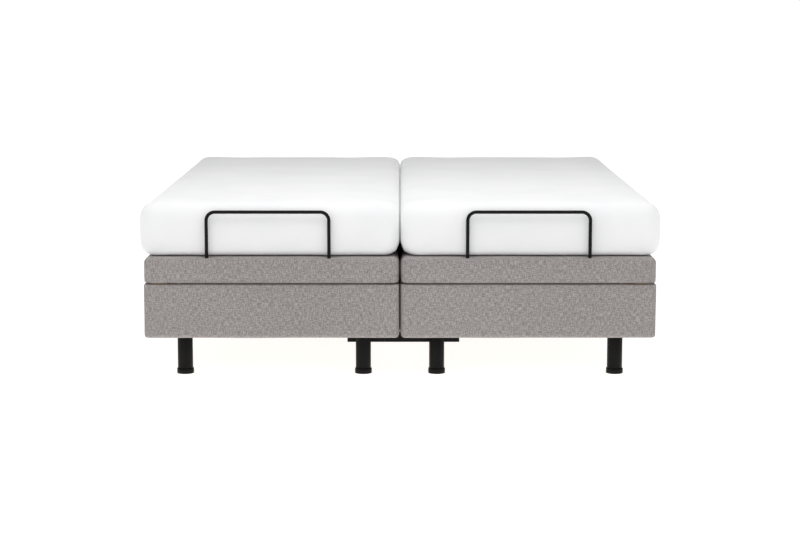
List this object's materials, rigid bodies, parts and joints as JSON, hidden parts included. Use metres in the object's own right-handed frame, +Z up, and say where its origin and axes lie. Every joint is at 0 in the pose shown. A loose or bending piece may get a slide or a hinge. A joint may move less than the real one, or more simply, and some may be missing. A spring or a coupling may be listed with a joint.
{
  "type": "adjustable split bed",
  "caption": "Split adjustable bed: two upholstered boxes on round legs, joined under the middle, each with a lifting deck, a mattress and a wire retainer bar at the foot.",
  "frame": {"origin": "on the floor, under the middle of the whole bed", "axes": "+X across the bed, +Y along it towards the head end, +Z up"},
  "size_m": [1.804, 2.02, 0.616],
  "materials": {
    "woven_cover": "coarse melange weave",
    "mattress_knit": "smooth white knit",
    "wood": "plain",
    "black_steel": "satin powder coat",
    "black_plastic": "fine texture",
    "grey_steel": "satin paint",
    "zinc_steel": "zinc plated",
    "cable_rubber": "matt"
  },
  "bodies": {
    "base": {"motor_cables": "cable_rubber", "foot_coupler": "black_steel", "head_coupler": "black_steel", "coupler_screws": "zinc_steel", "left_box_boards": "wood", "left_box_cover": "woven_cover", "left_chassis": "grey_steel", "left_legs": "black_steel", "left_leg_glides": "black_plastic", "left_seat_frame": "wood", "left_seat_pad": "woven_cover", "left_seat_hinge_plates": "zinc_steel", "left_seat_mattress": "mattress_knit", "left_back_actuator": "black_plastic", "left_leg_actuator": "black_plastic", "left_control_box": "black_plastic", "right_box_boards": "wood", "right_box_cover": "woven_cover", "right_chassis": "grey_steel", "right_legs": "black_steel", "right_leg_glides": "black_plastic", "right_seat_frame": "wood", "right_seat_pad": "woven_cover", "right_seat_hinge_plates": "zinc_steel", "right_seat_mattress": "mattress_knit", "right_back_actuator": "black_plastic", "right_leg_actuator": "black_plastic", "right_control_box": "black_plastic"},
    "left_back_section": {"left_back_frame": "wood", "left_back_pad": "woven_cover", "left_back_lift_frame": "grey_steel", "left_back_mattress": "mattress_knit"},
    "left_thigh_section": {"left_thigh_frame": "wood", "left_thigh_pad": "woven_cover", "left_thigh_lift_frame": "grey_steel", "left_thigh_mattress": "mattress_knit"},
    "left_calf_section": {"left_calf_frame": "wood", "left_calf_pad": "woven_cover", "left_calf_brackets": "grey_steel", "left_calf_mattress": "mattress_knit", "left_retainer_bar": "black_steel"},
    "left_link_pair": {"left_calf_links": "zinc_steel"},
    "left_back_push_rod": {"left_back_rod": "zinc_steel"},
    "left_leg_push_rod": {"left_leg_rod": "zinc_steel"},
    "right_back_section": {"right_back_frame": "wood", "right_back_pad": "woven_cover", "right_back_lift_frame": "grey_steel", "right_back_mattress": "mattress_knit"},
    "right_thigh_section": {"right_thigh_frame": "wood", "right_thigh_pad": "woven_cover", "right_thigh_lift_frame": "grey_steel", "right_thigh_mattress": "mattress_knit"},
    "right_calf_section": {"right_calf_frame": "wood", "right_calf_pad": "woven_cover", "right_calf_brackets": "grey_steel", "right_calf_mattress": "mattress_knit", "right_retainer_bar": "black_steel"},
    "right_link_pair": {"right_calf_links": "zinc_steel"},
    "right_back_push_rod": {"right_back_rod": "zinc_steel"},
    "right_leg_push_rod": {"right_leg_rod": "zinc_steel"}
  },
  "joints": [
    {"name": "left_back_lift", "type": "hinge", "parent": "base", "child": "left_back_section", "pos_m": [-0.4515, 0.264, 0.408], "axis": [1, 0, 0], "range_deg": [0, 60], "deforming": ["left_back_mattress"]},
    {"name": "left_thigh_lift", "type": "hinge", "parent": "base", "child": "left_thigh_section", "pos_m": [-0.4515, -0.094, 0.408], "axis": [-1, 0, 0], "range_deg": [0, 35], "deforming": ["left_thigh_mattress"]},
    {"name": "left_calf_fold", "type": "hinge", "parent": "left_thigh_section", "child": "left_calf_section", "pos_m": [-0.4515, -0.462, 0.341], "axis": [1, 0, 0], "range_deg": [0, 35]},
    {"name": "left_link_swing", "type": "hinge", "parent": "base", "child": "left_link_pair", "pos_m": [-0.4515, -0.114, 0.3], "axis": [-1, 0, 0], "range_deg": [0, 35]},
    {"name": "left_back_push", "type": "slide", "parent": "base", "child": "left_back_push_rod", "axis": [0, 1, 0], "range_m": [0, 0.1271]},
    {"name": "left_thigh_push", "type": "slide", "parent": "base", "child": "left_leg_push_rod", "axis": [0, -1, 0], "range_m": [0, 0.0695]},
    {"name": "right_back_lift", "type": "hinge", "parent": "base", "child": "right_back_section", "pos_m": [0.4515, 0.264, 0.408], "axis": [1, 0, 0], "range_deg": [0, 60], "deforming": ["right_back_mattress"]},
    {"name": "right_thigh_lift", "type": "hinge", "parent": "base", "child": "right_thigh_section", "pos_m": [0.4515, -0.094, 0.408], "axis": [-1, 0, 0], "range_deg": [0, 35], "deforming": ["right_thigh_mattress"]},
    {"name": "right_calf_fold", "type": "hinge", "parent": "right_thigh_section", "child": "right_calf_section", "pos_m": [0.4515, -0.462, 0.341], "axis": [1, 0, 0], "range_deg": [0, 35]},
    {"name": "right_link_swing", "type": "hinge", "parent": "base", "child": "right_link_pair", "pos_m": [0.4515, -0.114, 0.3], "axis": [-1, 0, 0], "range_deg": [0, 35]},
    {"name": "right_back_push", "type": "slide", "parent": "base", "child": "right_back_push_rod", "axis": [0, 1, 0], "range_m": [0, 0.1271]},
    {"name": "right_thigh_push", "type": "slide", "parent": "base", "child": "right_leg_push_rod", "axis": [0, -1, 0], "range_m": [0, 0.0695]}
  ],
  "couplings": [
    {"joint": "left_calf_fold", "follows": "left_thigh_lift", "ratio": 1},
    {"joint": "left_link_swing", "follows": "left_thigh_lift", "ratio": 1},
    {"joint": "left_thigh_push", "follows": "left_thigh_lift", "m_per_rad": 0.11355},
    {"joint": "left_back_push", "follows": "left_back_lift", "m_per_rad": 0.12129},
    {"joint": "right_calf_fold", "follows": "right_thigh_lift", "ratio": 1},
    {"joint": "right_link_swing", "follows": "right_thigh_lift", "ratio": 1},
    {"joint": "right_thigh_push", "follows": "right_thigh_lift", "m_per_rad": 0.11355},
    {"joint": "right_back_push", "follows": "right_back_lift", "m_per_rad": 0.12129}
  ]
}
